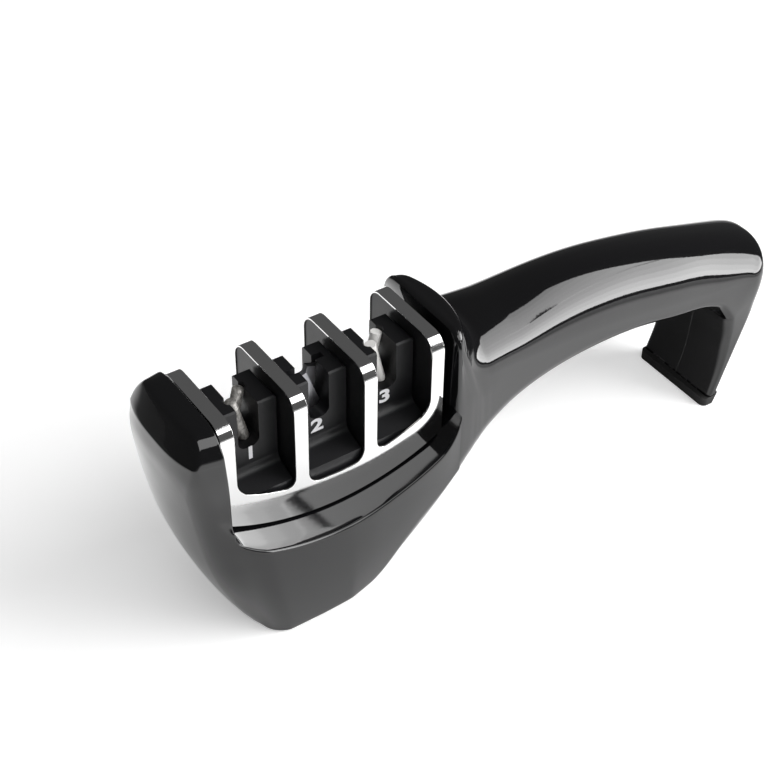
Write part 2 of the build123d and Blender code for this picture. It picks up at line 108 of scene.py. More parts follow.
class Paint:
    """A node material, its Principled shader and the few nodes that all finishes here share."""

    def __init__(self, name):
        self.material = bpy.data.materials.new(name)
        self.material.use_nodes = True
        self.tree = self.material.node_tree
        self.shader = self.tree.nodes["Principled BSDF"]

    def node(self, kind, settings=None, **inputs):
        made = self.tree.nodes.new(kind)
        for key, value in (settings or {}).items():
            setattr(made, key, value)
        for key, value in inputs.items():
            place = made.inputs[key.replace("_", " ")]
            if isinstance(value, Wire):
                self.tree.links.new(value.socket, place)
            else:
                place.default_value = value
        return made

    def place(self):
        return Wire(self.tree, self.node("ShaderNodeTexCoord").outputs["Object"])

    def noise(self, scale, detail=2.0, roughness=0.5, stretch=(1, 1, 1)):
        mapping = self.node("ShaderNodeMapping", Vector=self.place(), Scale=stretch)
        made = self.node(
            "ShaderNodeTexNoise",
            Vector=Wire(self.tree, mapping.outputs["Vector"]),
            Scale=scale,
            Detail=detail,
            Roughness=roughness,
        )
        return Wire(self.tree, made.outputs["Fac"])

    def ranged(self, value, low, high):
        made = self.node("ShaderNodeMapRange", Value=value, To_Min=low, To_Max=high)
        return Wire(self.tree, made.outputs["Result"])

    def mixed(self, share, low, high):
        made = self.node("ShaderNodeMix", {"data_type": "RGBA"})
        self.tree.links.new(share.socket, made.inputs["Factor"])
        for place, colour in zip([i for i in made.inputs if i.type == "RGBA"], (low, high)):
            place.default_value = (*colour, 1)
        return Wire(self.tree, next(o for o in made.outputs if o.type == "RGBA"))

    def away(self, place, reach, start, end):
        """Zero inside an oval on the ground, rising smoothly to one outside it; the masks of the table's
        painted shade are made of it.
        """
        oval = self.node(
            "ShaderNodeMapping",
            {"vector_type": "TEXTURE"},
            Vector=self.place(),
            Location=(*place, 0),
            Scale=(*reach, 1),
        )
        length = self.node(
            "ShaderNodeVectorMath",
            {"operation": "LENGTH"},
            Vector=Wire(self.tree, oval.outputs["Vector"]),
        )
        rise = self.node(
            "ShaderNodeMapRange",
            {"interpolation_type": "SMOOTHSTEP"},
            Value=Wire(self.tree, length.outputs["Value"]),
            From_Min=start,
            From_Max=end,
        )
        return Wire(self.tree, rise.outputs["Result"])

    def bump(self, height, strength, distance):
        made = self.node("ShaderNodeBump", Height=height, Strength=strength, Distance=distance)
        return Wire(self.tree, made.outputs["Normal"])

    def set(self, **inputs):
        for key, value in inputs.items():
            place = self.shader.inputs[key.replace("_", " ")]
            if isinstance(value, Wire):
                self.tree.links.new(value.socket, place)
            else:
                place.default_value = value
        return self.material


def gloss_black(colour):
    """Moulded gloss plastic: near black, with faint smudges and a trace of orange peel."""
    paint = Paint("gloss_black")
    smudge = paint.noise(38.0, 4.0, 0.6)
    peel = paint.noise(420.0, 2.0)
    return paint.set(
        Base_Color=(*colour, 1),
        Roughness=paint.ranged(smudge, 0.03, 0.08),
        IOR=1.52,
        Normal=paint.bump(peel, 0.04, 0.0002),
    )


def matt_black(colour):
    """Moulded matt plastic with a fine spark-eroded grain."""
    paint = Paint("matt_black")
    grain = paint.noise(2600.0, 2.0)
    patch = paint.noise(120.0, 3.0)
    return paint.set(
        Base_Color=(*colour, 1),
        Roughness=paint.ranged(patch, 0.34, 0.44),
        Specular_IOR_Level=0.3,
        Normal=paint.bump(grain, 0.15, 0.0001),
    )


def sleeve_steel(colour):
    """Polished sheet steel with a faint brushed line along the sleeve."""
    paint = Paint("sleeve_steel")
    brush = paint.noise(900.0, 3.0, 0.6, stretch=(0.03, 1, 1))
    cloud = paint.noise(45.0, 2.0)
    return paint.set(
        Base_Color=(*colour, 1),
        Metallic=1.0,
        Roughness=paint.ranged(cloud, 0.05, 0.10),
        Normal=paint.bump(brush, 0.06, 0.00005),
    )


def diamond_grit():
    """Grey bonded diamond grit, lighter on its grains."""
    paint = Paint("diamond_grit")
    mottle = paint.noise(900.0, 4.0, 0.7)
    grains = paint.ranged(mottle, -0.6, 1.5)
    return paint.set(
        Base_Color=paint.mixed(grains, (0.12, 0.115, 0.11), (0.66, 0.64, 0.61)),
        Metallic=0.6,
        Roughness=paint.ranged(mottle, 0.35, 0.6),
    )


def white_ceramic():
    """Fine fired ceramic, off-white, with a faint mottle."""
    paint = Paint("white_ceramic")
    mottle = paint.noise(260.0, 4.0)
    return paint.set(
        Base_Color=paint.mixed(mottle, (0.78, 0.77, 0.75), (0.86, 0.85, 0.83)),
        Roughness=0.42,
        Normal=paint.bump(paint.noise(1800.0, 2.0), 0.15, 0.00008),
    )


def ground_carbide():
    """Dark ground carbide with grinding lines across the blade."""
    paint = Paint("ground_carbide")
    lines = paint.noise(1500.0, 2.0, 0.5, stretch=(1, 1, 0.05))
    return paint.set(
        Base_Color=(0.36, 0.36, 0.38, 1),
        Metallic=1.0,
        Roughness=paint.ranged(lines, 0.22, 0.42),
        Normal=paint.bump(lines, 0.3, 0.00005),
    )


def pad_rubber():
    """Black rubber with a fine even grain."""
    paint = Paint("pad_rubber")
    return paint.set(
        Base_Color=(0.010, 0.010, 0.010, 1),
        Roughness=paint.ranged(paint.noise(90.0, 3.0), 0.6, 0.8),
        Normal=paint.bump(paint.noise(1900.0, 2.0), 0.3, 0.0001),
    )


def screw_steel():
    """Zinc-plated steel."""
    paint = Paint("screw_steel")
    return paint.set(
        Base_Color=(0.55, 0.55, 0.56, 1),
        Metallic=1.0,
        Roughness=paint.ranged(paint.noise(700.0, 2.0), 0.25, 0.4),
    )


def print_white():
    """Pad-printed white ink, a little worn."""
    paint = Paint("print_white")
    wear = paint.noise(1400.0, 3.0, 0.6)
    return paint.set(
        Base_Color=paint.mixed(wear, (0.62, 0.62, 0.64), (0.80, 0.80, 0.82)),
        Roughness=0.5,
    )


def spline(knots, at):
    """Natural cubic spline through the knots, as fair as a draughtsman's batten."""
    x = np.array([k[0] for k in knots], float)
    y = np.array([k[1] for k in knots], float)
    n = len(x)
    h = np.diff(x)
    left = np.eye(n)
    right = np.zeros(n)
    for i in range(1, n - 1):
        left[i, i - 1], left[i, i], left[i, i + 1] = h[i - 1], 2 * (h[i - 1] + h[i]), h[i]
        right[i] = 6 * ((y[i + 1] - y[i]) / h[i] - (y[i] - y[i - 1]) / h[i - 1])
    m = np.linalg.solve(left, right)
    at = np.clip(np.asarray(at, float), x[0], x[-1])
    i = np.clip(np.searchsorted(x, at) - 1, 0, n - 2)
    a, b = (x[i + 1] - at) / h[i], (at - x[i]) / h[i]
    return a * y[i] + b * y[i + 1] + ((a**3 - a) * m[i] + (b**3 - b) * m[i + 1]) * h[i] ** 2 / 6


def fair(knots, at):
    """Cubic through the knots that never swings past them."""
    x = np.array([k[0] for k in knots], float)
    y = np.array([k[1] for k in knots], float)
    h, rise = np.diff(x), np.diff(y) / np.diff(x)
    slope = np.zeros(len(x))
    same = rise[:-1] * rise[1:] > 0
    first, second = 2 * h[1:] + h[:-1], h[1:] + 2 * h[:-1]
    safe = np.where(same, rise[:-1], 1), np.where(same, rise[1:], 1)
    slope[1:-1] = np.where(same, (first + second) / (first / safe[0] + second / safe[1]), 0)
    slope[0], slope[-1] = rise[0], rise[-1]
    at = np.clip(np.asarray(at, float), x[0], x[-1])
    i = np.clip(np.searchsorted(x, at) - 1, 0, len(x) - 2)
    t = (at - x[i]) / h[i]
    start, end = slope[i] * h[i], slope[i + 1] * h[i]
    from_left = y[i] * (1 + 2 * t) * (1 - t) ** 2 + start * t * (1 - t) ** 2
    return from_left + y[i + 1] * t**2 * (3 - 2 * t) - end * t**2 * (1 - t)


def steady(knots, at):
    """Straight runs between the knots."""
    return np.interp(at, [k[0] for k in knots], [k[1] for k in knots])


def smooth_min(a, b, reach):
    blend = np.clip(0.5 + 0.5 * (b - a) / reach, 0, 1)
    return b * (1 - blend) + a * blend - reach * blend * (1 - blend)


def smooth_max(a, b, reach):
    return -smooth_min(-a, -b, reach)


class Grid:
    """Collects quads of one skin."""

    def __init__(self):
        self.points = []
        self.faces = []

    def add(self, rows, flip=False):
        rows = np.asarray(rows, float)
        start = len(self.points)
        count, width = rows.shape[:2]
        self.points.extend(rows.reshape(-1, 3).tolist())
        for r in range(count - 1):
            for c in range(width - 1):
                a = start + r * width + c
                quad = [a, a + 1, a + width + 1, a + width]
                self.faces.append(quad[::-1] if flip else quad)

    def mirrored(self, rows, flip=False):
        """Adds a near-side skin and its twin on the far side."""
        rows = np.asarray(rows, float)
        self.add(rows, flip)
        self.add(rows * np.array([1, -1, 1]), not flip)

    def build(self, name, material, weld=0.00002):
        mesh = bpy.data.meshes.new(name)
        mesh.from_pydata([[v * MM for v in p] for p in self.points], [], self.faces)
        obj = bpy.data.objects.new(name, mesh)
        bpy.context.scene.collection.objects.link(obj)
        work = bmesh.new()
        work.from_mesh(mesh)
        bmesh.ops.remove_doubles(work, verts=work.verts, dist=weld)
        bmesh.ops.dissolve_degenerate(work, edges=work.edges, dist=weld / 10)
        work.to_mesh(mesh)
        work.free()
        mesh.polygons.foreach_set("use_smooth", [True] * len(mesh.polygons))
        mesh.materials.append(material)
        return obj


# Head, in millimetres: back of the nose, front of the collar, middle of the sleeve, crease of the nose
nose_back = cover_low.x / MM - 0.8
collar_front = cover_high.x / MM + 2.8
cover_middle = (cover_low.x + cover_high.x) / 2 / MM
crease = 69.5

# Hull: half width and height of its lower edge, height of its keel and half width of its lip
edge_width = [
    (-110, 24.3), (-70, 24.3), (-60.3, 24.2), (-56.3, 23.5), (-52, 22.7), (-47, 22.2), (-40, 21.8),
    (-34, 21.4), (-28, 21.0), (-20.4, 20.2),
]
edge_height = [
    (-110, 0.4), (-60, 0.4), (-53, 0.7), (-48, 2.6), (-40, 9.2), (-34, 14.2), (-28, 19.2),
    (-20.4, 26.0),
]
keel_height = [(-110, 0.4), (-44, 0.4), (-36, 1.0), (-30, 6.0), (-22, 14.2), (-20.4, 16.0)]
lip_width = [
    (-110, 26.6), (-84.4, 26.6), (-75, 26.5), (-61.5, 26.1), (-54.3, 25.5), (-45, 24.3), (-30.5, 22.4),
    (-25.3, 21.3), (-22.5, 20.3), (-20.4, 19.3),
]

# Nose: reach, bow, half width and corner of the upright post, height by height up to the crease
post_front = [
    (0, -88.8), (5, -92.0), (14, -96.3), (23.4, -99.8), (34, -102.5), (47, -104.9), (58.5, -106.4),
    (64, -106.8), (69.5, -106.4),
]
post_bow = [(0, 3.2), (14, 2.4), (30, 1.8), (58, 1.9), (69.5, 3.8), (80, 3.8)]
post_bow_power = [(0, 2.0), (50, 2.0), (69.5, 2.9), (80, 2.9)]
post_width = [(0, 19.5), (14, 20.4), (30, 20.9), (44, 21.0), (56, 20.9), (63, 20.4), (69.5, 19.4)]
post_corner = [(0, 5.0), (58, 5.0), (69.5, 1.0), (80, 1.0)]
post_taper = [(0, 0.12), (60, 0.12), (69.5, 0.19), (80, 0.19)]
hull_front = [(0, -89.0), (14, -92.8), (24, -95.2), (34, -97.0), (42, -98.0), (80, -98.0)]
hull_bow = [(0, 3.4), (42, 2.0), (80, 2.0)]
hull_corner = [(0, 5.0), (14, 6.0), (30, 7.5), (80, 8.0)]
flare = [(0, 1.0), (14, 3.0), (30, 5.0), (80, 5.0)]

# Reach ahead of which the post tapers, and the half width at which its front has its full bow
taper_start = -96
bow_width = 20

# Crown: height, reach of the front facet and of the top behind it, half width of the rounded section
crown = [
    (69.6, -106.36, 19.4), (69.9, -106.22, 19.35), (70.6, -105.85, 19.25), (71.6, -105.3, 19.0),
    (72.8, -104.65, 18.4), (74.0, -104.0, 17.6), (75.0, -103.45, 16.8), (76.0, -102.9, 15.8),
    (76.6, -102.55, 15.1), (76.95, -102.25, 14.5), (77.2, -101.8, 13.9), (77.4, -101.0, 13.3),
    (77.55, -100.0, 12.7), (77.7, -98.8, 11.8), (77.85, -97.3, 10.6), (77.95, -96.2, 9.4),
]
ridge_width = 8.0
ridge_height = 78.0

# Ledge: height at its middle, radius of its sag, and the fillets that lift it at both ends
ledge_height = 33.4
ledge_radius = 75.0
ledge_blend = 1.2
nose_fillet = 2.6
collar_fillet = 8.0


def ledge(x):
    """Height of the ledge, which turns up at both ends."""
    ahead = np.clip(nose_fillet - (np.asarray(x, float) - nose_back), 0, nose_fillet)
    behind = np.clip(np.asarray(x, float) - (collar_front - collar_fillet), 0, collar_fillet)
    nose_lift = nose_fillet - np.sqrt(nose_fillet**2 - ahead**2)
    lift = nose_lift + collar_fillet - np.sqrt(collar_fillet**2 - behind**2)
    return ledge_height + (x - cover_middle) ** 2 / (2 * ledge_radius) + lift


def side_width(x, z):
    """Half width of the hull at a height."""
    low, high = fair(edge_height, x), ledge(x)
    share = np.clip((z - low) / (high - low), 0, 1)
    bottom, top = fair(edge_width, x), fair(lip_width, x)
    return bottom + (top - bottom) * (1 - (1 - share) ** 2.2)


def corner(before, at, after, size_before, size_after, count):
    """Round of a corner as a cubic curve, with the same tangents as a circle's."""
    before, at, after = (np.asarray(p, float) for p in (before, at, after))
    back = (before - at) / np.linalg.norm(before - at)
    ahead = (after - at) / np.linalg.norm(after - at)
    start, end = at + back * size_before, at + ahead * size_after
    kappa = 0.5523
    t = np.linspace(0, 1, count)[:, None]
    one = start - back * size_before * kappa
    two = end - ahead * size_after * kappa
    return (1 - t) ** 3 * start + 3 * (1 - t) ** 2 * t * one + 3 * (1 - t) * t**2 * two + t**3 * end


def rounded_corner(ahead, aside, radius):
    u, v = ahead + radius, aside + radius
    return np.minimum(np.maximum(u, v), 0) + np.hypot(np.maximum(u, 0), np.maximum(v, 0)) - radius


def post_field(x, y, z, front, width):
    """Below zero inside the upright post of the nose."""
    width = width - fair(post_taper, z) * np.clip(taper_start - x, 0, None)
    front = front + fair(post_bow, z) * (np.abs(y) / bow_width) ** fair(post_bow_power, z)
    return rounded_corner(front - x, y - width, fair(post_corner, z))


def head_field(x, y, z, cut=True):
    """Below zero inside the nose and the front of the hull, which run into each other."""
    post = post_field(x, y, z, fair(post_front, z), fair(post_width, z))
    front = fair(hull_front, z) + fair(hull_bow, z) * (y / bow_width) ** 2
    hull = rounded_corner(front - x, y - side_width(x, z), fair(hull_corner, z))
    if cut:
        hull = smooth_max(hull, z - ledge(x), ledge_blend)
    return smooth_min(post, hull, fair(flare, z))


def reach_of(field, shape, far=60.0):
    """Distance at which a field turns positive, found by halving."""
    low, high = np.zeros(shape), np.full(shape, far)
    for _ in range(40):
        middle = (low + high) / 2
        inside = field(middle) < 0
        low = np.where(inside, middle, low)
        high = np.where(inside, high, middle)
    return (low + high) / 2


# Where the nose's fan of rays starts at the table, and the height up to which its start moves back
origin_low = -80.0
origin_rise = 32.0
origin_power = 1.6


def fan_origin(z):
    """Where the nose's fan of rays starts at one height."""
    share = np.clip(1 - np.asarray(z, float) / origin_rise, 0, 1)
    return nose_back + (origin_low - nose_back) * share**origin_power


def fan_row(angle, z, field):
    """Points of the skin around the fan's origin at one height."""
    start = float(fan_origin(z))
    height = np.full_like(angle, z)
    reach = reach_of(
        lambda r: field(start - r * np.cos(angle), r * np.sin(angle), height), angle.shape
    )
    return np.stack([start - reach * np.cos(angle), -reach * np.sin(angle), height], 1)


# Points along the hull's keel, bilge, side, lip and ledge, and the radius of the lip
floor_count = 15
bilge_count = 8
side_count = 26
lip_count = 7
ledge_count = 10
lip_radius = 0.9


def hull_section(x):
    """Half section of the hull: keel, bilge, side, lip and ledge, as (reach, width, height)."""
    keel, low, high = fair(keel_height, x), fair(edge_height, x), ledge(x)
    bottom = fair(edge_width, x)
    bilge = steady([(-70, 0.8), (-50, 2.0), (-34, 5.0), (-20.4, 5.0)], x)
    power = steady([(-70, 2.0), (-20.4, 2.4)], x)
    slope = (low - keel) * power / bottom
    inner = (bottom - 4, low - 4 * slope)
    edge = corner(inner, (bottom, low), (bottom, low + 4), bilge, bilge, bilge_count)
    across = np.linspace(0, edge[0][0], floor_count)
    bottom_pts = np.stack([across, keel + (low - keel) * (across / bottom) ** power], 1)
    bottom_pts[-1] = edge[0]
    rise = np.linspace(low + bilge, high - lip_radius, side_count)
    fall = np.clip((-58 - x) / (-58 - nose_back), 0, 1) ** 2

    def shifted(z):
        return x + (fan_origin(z) - nose_back) * fall

    places = shifted(rise)
    sides = reach_of(lambda r: head_field(places, r, rise, False), rise.shape)
    side_pts = np.stack([sides, rise], 1)
    edge[:, 0] += (sides[0] - bottom) * np.linspace(0, 1, bilge_count) ** 2
    side_pts[0] = edge[-1]
    rim = (sides[-1], high)
    lip = corner((sides[-1], high - 3), rim, (0, high), lip_radius, lip_radius, lip_count)
    ledge_pts = np.stack([np.linspace(lip[-1][0], 0, ledge_count), np.full(ledge_count, high)], 1)
    half = np.concatenate([bottom_pts[:-1], edge, side_pts[1:-1], lip, ledge_pts[1:]])
    return np.stack([shifted(half[:, 1]), -half[:, 0], half[:, 1]], 1)


def hull_skin():
    """Rings of the hull from behind the nose to the collar; the first follows the nose's fan."""
    quarter = np.linspace(0, math.pi / 2, 18)
    up_nose = nose_back + nose_fillet * (1 - np.cos(quarter[:14] * 17 / 13))
    up_collar = collar_front - collar_fillet * (1 - np.sin(quarter))
    places = np.concatenate(
        [
            up_nose[:-1],
            np.linspace(up_nose[-1], -60, 50)[:-1],
            np.linspace(-60, -30, 40)[:-1],
            np.linspace(-30, up_collar[0], 6)[:-1],
            up_collar,
        ]
    )
    return np.array([hull_section(x) for x in places])


def nose_skin(hull):
    """Rows of the nose from the table over the crown; the hull's first ring is tied to them."""
    angle = np.concatenate(
        [np.linspace(0, 46, 20)[:-1], np.linspace(46, 72, 34)[:-1], np.linspace(72, 90, 18)]
    ) * math.pi / 180
    first = floor_count - 1
    last = first + bilge_count + side_count - 1
    heights = list(hull[0][first:last, 2])
    rows = []
    for n, z in enumerate(heights):
        row = fan_row(angle, z, head_field)
        if n < bilge_count - 1:
            # The lowest rows turn under like the bilge
            inset = hull[0][first + n][1] - hull[0][first + bilge_count - 1][1]
            outward = row - np.array([float(fan_origin(z)), 0, z])
            row -= outward / np.linalg.norm(outward, axis=1)[:, None] * inset
        rows.append(row)
    below = len(rows)
    for n in range(below):
        hull[0][first + n] = rows[n][-1]
    above = [np.linspace(heights[-1] + 0.15, 46.5, 24), np.linspace(47, crease, 30)]
    for z in np.concatenate(above):
        rows.append(fan_row(angle, z, head_field))
    for z, front, width in crown:
        rows.append(fan_row(angle, z, lambda x, y, h: post_field(x, y, h, front, width)))
    ridge = rows[-1].copy()
    ridge[:, 0] = nose_back
    ridge[:, 1] = -ridge_width * np.sin(angle)
    ridge[:, 2] = ridge_height
    rows.append(ridge)
    return np.array(rows), below


def handle_stations():
    """Top and underside of the handle's middle plane with its widths and rounds, run by run."""
    collar = [
        # top x, top z, low x, low z, top width, edge width, lift, top round, edge round
        (-20.4, 77.6, -20.4, 16.0, 18.3, 20.2, 10.0, 6.0, 5.0),
        (-20.0, 78.0, -20.0, 16.4, 18.65, 20.1, 10.0, 6.2, 5.0),
        (-19.4, 78.2, -19.4, 17.0, 18.8, 20.05, 9.9, 6.3, 5.0),
        (-17.0, 78.2, -17.0, 19.6, 18.65, 19.8, 9.3, 6.3, 5.0),
        (-14.6, 78.2, -14.6, 22.6, 18.4, 19.45, 8.5, 6.3, 5.0),
        (-13.7, 77.9, -13.7, 23.6, 18.25, 19.3, 8.2, 6.5, 5.0),
        (-12.9, 76.8, -12.9, 24.8, 18.1, 19.2, 7.9, 7.0, 5.0),
        (-12.0, 74.4, -12.0, 25.9, 18.0, 19.05, 7.5, 7.8, 5.0),
        (-11.0, 72.0, -11.0, 27.2, 17.85, 18.9, 7.1, 8.8, 4.8),
        (-10.0, 70.4, -10.0, 28.5, 17.7, 18.7, 6.7, 9.8, 4.6),
        (-8.8, 69.5, -8.8, 30.0, 17.55, 18.5, 6.2, 10.6, 4.4),
        (-7.0, 69.15, -7.0, 32.0, 17.3, 18.2, 5.4, 11.4, 4.2),
    ]
    handle = [
        (-7.0, 69.15, -7.0, 32.0, 17.3, 18.2, 5.4, 11.4, 4.2),
        (0.0, 69.89, 0.0, 37.6, 16.5, 17.3, 3.2, 12.6, 4.0),
        (8.0, 70.62, 8.0, 42.0, 15.9, 16.5, 1.5, 14.2, 3.6),
        (20.0, 71.84, 20.0, 45.2, 15.3, 15.7, 0.5, 16.4, 3.4),
        (40.0, 71.57, 39.0, 46.6, 15.0, 15.3, 0.3, 17.5, 3.4),
        (56.0, 69.22, 54.0, 45.8, 15.0, 15.3, 0.3, 17.1, 3.4),
        (72.0, 65.82, 67.5, 43.6, 15.1, 15.5, 0.3, 16.0, 3.4),
        (85.52, 62.31, 77.5, 42.5, 14.33, 15.8, 0.3, 14.8, 3.4),
        (99.1, 58.35, 83.4, 40.8, 14.4, 16.0, 0.3, 14.0, 3.4),
        (106.44, 55.71, 87.0, 38.2, 15.08, 16.1, 0.2, 13.0, 3.4),
        (108.1, 53.9, 89.2, 35.2, 15.7, 16.2, 0.1, 11.4, 3.3),
        (107.4, 40.6, 90.3, 32.0, 16.1, 16.2, 0.0, 9.4, 3.2),
        (105.3, 36.4, 90.7, 28.4, 16.1, 16.2, 0.0, 7.6, 3.0),
        (102.2, 28.8, 90.6, 23.0, 16.1, 16.1, 0.0, 6.0, 2.8),
        (98.4, 19.4, 90.1, 16.0, 16.1, 16.1, 0.0, 4.6, 2.4),
        (94.9, 10.0, 88.9, 9.3, 16.1, 16.1, 0.0, 3.4, 1.8),
        (92.2, 3.2, 87.1, 3.2, 16.1, 16.1, 0.0, 2.6, 1.4),
    ]
    rows = []
    for table, count in ((collar, 40), (handle, 190)):
        table = np.array(table)
        middle = (table[:, 0:2] + table[:, 2:4]) / 2
        step = np.maximum(np.hypot(*np.diff(middle, axis=0).T), 0.4)
        along = np.concatenate([[0], np.cumsum(step)])
        at = np.linspace(0, along[-1], count)
        made = np.array([spline(list(zip(along, table[:, c])), at) for c in range(table.shape[1])]).T
        rows.append(made if not rows else made[1:])
    return np.concatenate(rows)


# Depth of the joint line under the handle, and the flat that the dome leaves beside the middle
joint_depth = 0.3
dome_flat = 0.6

# Share of the top that is domed, from the collar to the leg
dome_share = [(-12, 0.0), (4, 0.75), (24, 0.93), (68, 0.93), (86, 0.8), (91, 0.4)]


def handle_section(station):
    """Half section in the station's plane, from its underside to its top."""
    top_x, top_z, low_x, low_z, top_width, edge_wide, lift, top_round, edge_round = station
    low, up = np.array([low_x, low_z]), np.array([top_x - low_x, top_z - low_z])
    depth = np.hypot(*up)
    up = up / depth
    power = 2.2
    slope = lift * power / edge_wide
    inner, rim = (edge_wide - 4, lift - 4 * slope), (edge_wide, lift)
    edge = corner(inner, rim, (top_width, depth), edge_round, edge_round, 12)
    across = np.concatenate([[0, 0.12], np.linspace(0.3, edge_wide - edge_round, 12)])
    floor_pts = np.stack([across, lift * (across / edge_wide) ** power], 1)
    floor_pts[0, 1] += joint_depth
    floor_pts[-1] = edge[0]
    round_down = min(top_round, (depth - edge[-1][1]) * 0.96)
    round_in = top_round + (top_width - top_round) * steady(dome_share, low_x)
    round_in = min(round_in, top_width - dome_flat)
    crown_pts = corner((edge_wide, lift), (top_width, depth), (0, depth), round_down, round_in, 30)
    share = np.linspace(0, 1, 18)[1:-1, None]
    side_pts = edge[-1] * (1 - share) + crown_pts[0] * share
    top_share = np.linspace(0, 1, 8)[1:, None]
    top_pts = crown_pts[-1] * (1 - top_share) + np.array([0, depth]) * top_share
    half = np.concatenate([floor_pts[:-1], edge, side_pts, crown_pts, top_pts])
    upper = np.clip((half[:, 1] / depth - 0.55) / 0.35, 0, 1)
    bow = crest_bow(top_x) * (half[:, 0] / 11) ** 2 * upper
    return np.stack([low[0] + half[:, 1] * up[0] - bow, -half[:, 0], low[1] + half[:, 1] * up[1]], 1)


def crest_bow(x):
    """How far the collar's rear crest runs forward towards the sides."""
    return steady([(-19.4, 0.0), (-14.6, 1.8), (-11.0, 1.8), (-6.0, 0.6), (4.0, 0.0)], x)


def body_skin(material):
    """The whole gloss body: nose, hull, collar, handle and leg."""
    grid = Grid()
    hull = hull_skin()
    nose, below = nose_skin(hull)
    grid.mirrored(hull, flip=True)
    grid.mirrored(nose)
    start = np.array([float(fan_origin(nose[0][0][2])), 0, nose[0][0][2]])
    grid.mirrored(np.stack([np.broadcast_to(start, nose[0].shape), nose[0]]))
    edge = nose[below - 1 :, -1]
    wall = np.stack([edge, edge * np.array([1, 0, 1])], 1)
    grid.mirrored(wall + np.array([0.0005, 0, 0]))
    handle = np.array([handle_section(s) for s in handle_stations()])
    grid.mirrored(handle, flip=True)
    front = handle[0]
    face = np.stack([front, front * np.array([1, 0, 1])], 1)
    grid.mirrored(face - np.array([0.0005, 0, 0]), flip=True)
    foot = handle[-1]
    grid.mirrored(np.stack([foot, foot * np.array([1, 0, 1])], 1) - np.array([0, 0, 0.0005]))
    return grid.build("body_shell", material)


# Sleeve: the sheet, its bends and the arcs along its lower edge and under its windows
stage_count = 3
half_sleeve = cover_high.y / MM
sleeve_top = cover_high.z / MM
smile_low = cover_low.z / MM
smile_radius = 75.0
sill_count = 9


def smile(x, radius):
    """Height of an arc along the sleeve about the centre that both arcs share."""
    return smile_low + smile_radius - math.sqrt(radius**2 - (x - cover_middle) ** 2)


def sleeve_columns(band, window, rise, rounding):
    """Places along the sleeve, each with the height where a window starts and whether one follows."""
    columns = []
    turn = np.linspace(0, math.pi / 2, 9)
    near = rounding * (1 - np.cos(turn))
    middle = np.linspace(rounding, window - rounding, 16)[1:-1]
    across = np.concatenate([near, middle, window - near[::-1]])
    start = cover_low.x / MM
    for stage in range(stage_count + 1):
        low = start + (band + window) * stage
        edges = [low, low + band]
        heights = [smile(x, smile_radius - rise) + rounding for x in edges]
        if stage == 0:
            heights[0] = heights[1]
        if stage == stage_count:
            heights[1] = heights[0]
        for share in (0, 0.25, 0.5, 0.75):
            columns.append((low + band * share, heights[0] + (heights[1] - heights[0]) * share, False))
        if stage == stage_count:
            columns.append((low + band, heights[1], False))
            break
        for d in across[:-1]:
            edge = min(d, window - d)
            lift = rounding - math.sqrt(rounding**2 - max(rounding - edge, 0) ** 2)
            columns.append((low + band + d, smile(low + band + d, smile_radius - rise) + lift, True))
    return columns


def sleeve_skin(settings):
    """Folded sheet over the stages, with a window over each one."""
    fold, rounding, rise = (v / MM for v in (settings.fold, settings.rounding, settings.rise))
    window, band = settings.window / MM, settings.band / MM
    bend = np.linspace(0, math.pi / 2, 17)[1:]
    rows = []
    columns = sleeve_columns(band, window, rise, rounding)
    for x, sill, _ in columns:
        foot = smile(x, smile_radius)
        below = np.linspace(foot, sill, sill_count)
        above = np.linspace(sill, sleeve_top - fold, 12)[1:]
        points = [(x, -half_sleeve, z) for z in np.concatenate([below, above])]
        for t in bend:
            inward, down = fold * (1 - math.cos(t)), fold * (1 - math.sin(t))
            points.append((x, -half_sleeve + inward, sleeve_top - down))
        points += [(x, y, sleeve_top) for y in np.linspace(-half_sleeve + fold, 0, 8)[1:]]
        points += [(px, -py, pz) for px, py, pz in points[-2::-1]]
        rows.append(points)
    open_after = [is_open for *_, is_open in columns]
    count = len(rows[0])
    work = bmesh.new()
    made = [[work.verts.new([v * MM for v in point]) for point in row] for row in rows]
    for r, is_open in enumerate(open_after[:-1]):
        for c in range(count - 1):
            if is_open and sill_count - 1 <= c < count - sill_count:
                continue
            work.faces.new((made[r][c], made[r + 1][c], made[r + 1][c + 1], made[r][c + 1]))
    loose = [v for v in work.verts if not v.link_faces]
    bmesh.ops.delete(work, geom=loose, context="VERTS")
    mesh = bpy.data.meshes.new("sleeve")
    work.to_mesh(mesh)
    work.free()
    mesh.polygons.foreach_set("use_smooth", [True] * len(mesh.polygons))
    sleeve = bpy.data.objects.new("sleeve", mesh)
    bpy.context.scene.collection.objects.link(sleeve)
    wall = sleeve.modifiers.new("sheet", "SOLIDIFY")
    wall.thickness, wall.offset, wall.use_even_offset = settings.sheet, -1, True
    edge = sleeve.modifiers.new("deburred", "BEVEL")
    edge.width, edge.segments, edge.limit_method = settings.sheet / 5, 2, "ANGLE"
    edge.angle_limit, edge.harden_normals = math.radians(50), True
    return sleeve


# Blocks: half width of their near faces, and reach, height and width share of the digits on them
block_half = 6.95
digit_places = [(-81.1, 56.6, 1.15), (-59.8, 56.2, 1.35), (-37.2, 56.2, 1.35)]

# Digits: height of a figure against its letter size, its added weight, and the depth of the ink
digit_cap = 0.7
digit_weight = 0.05
ink_depth = 0.00004


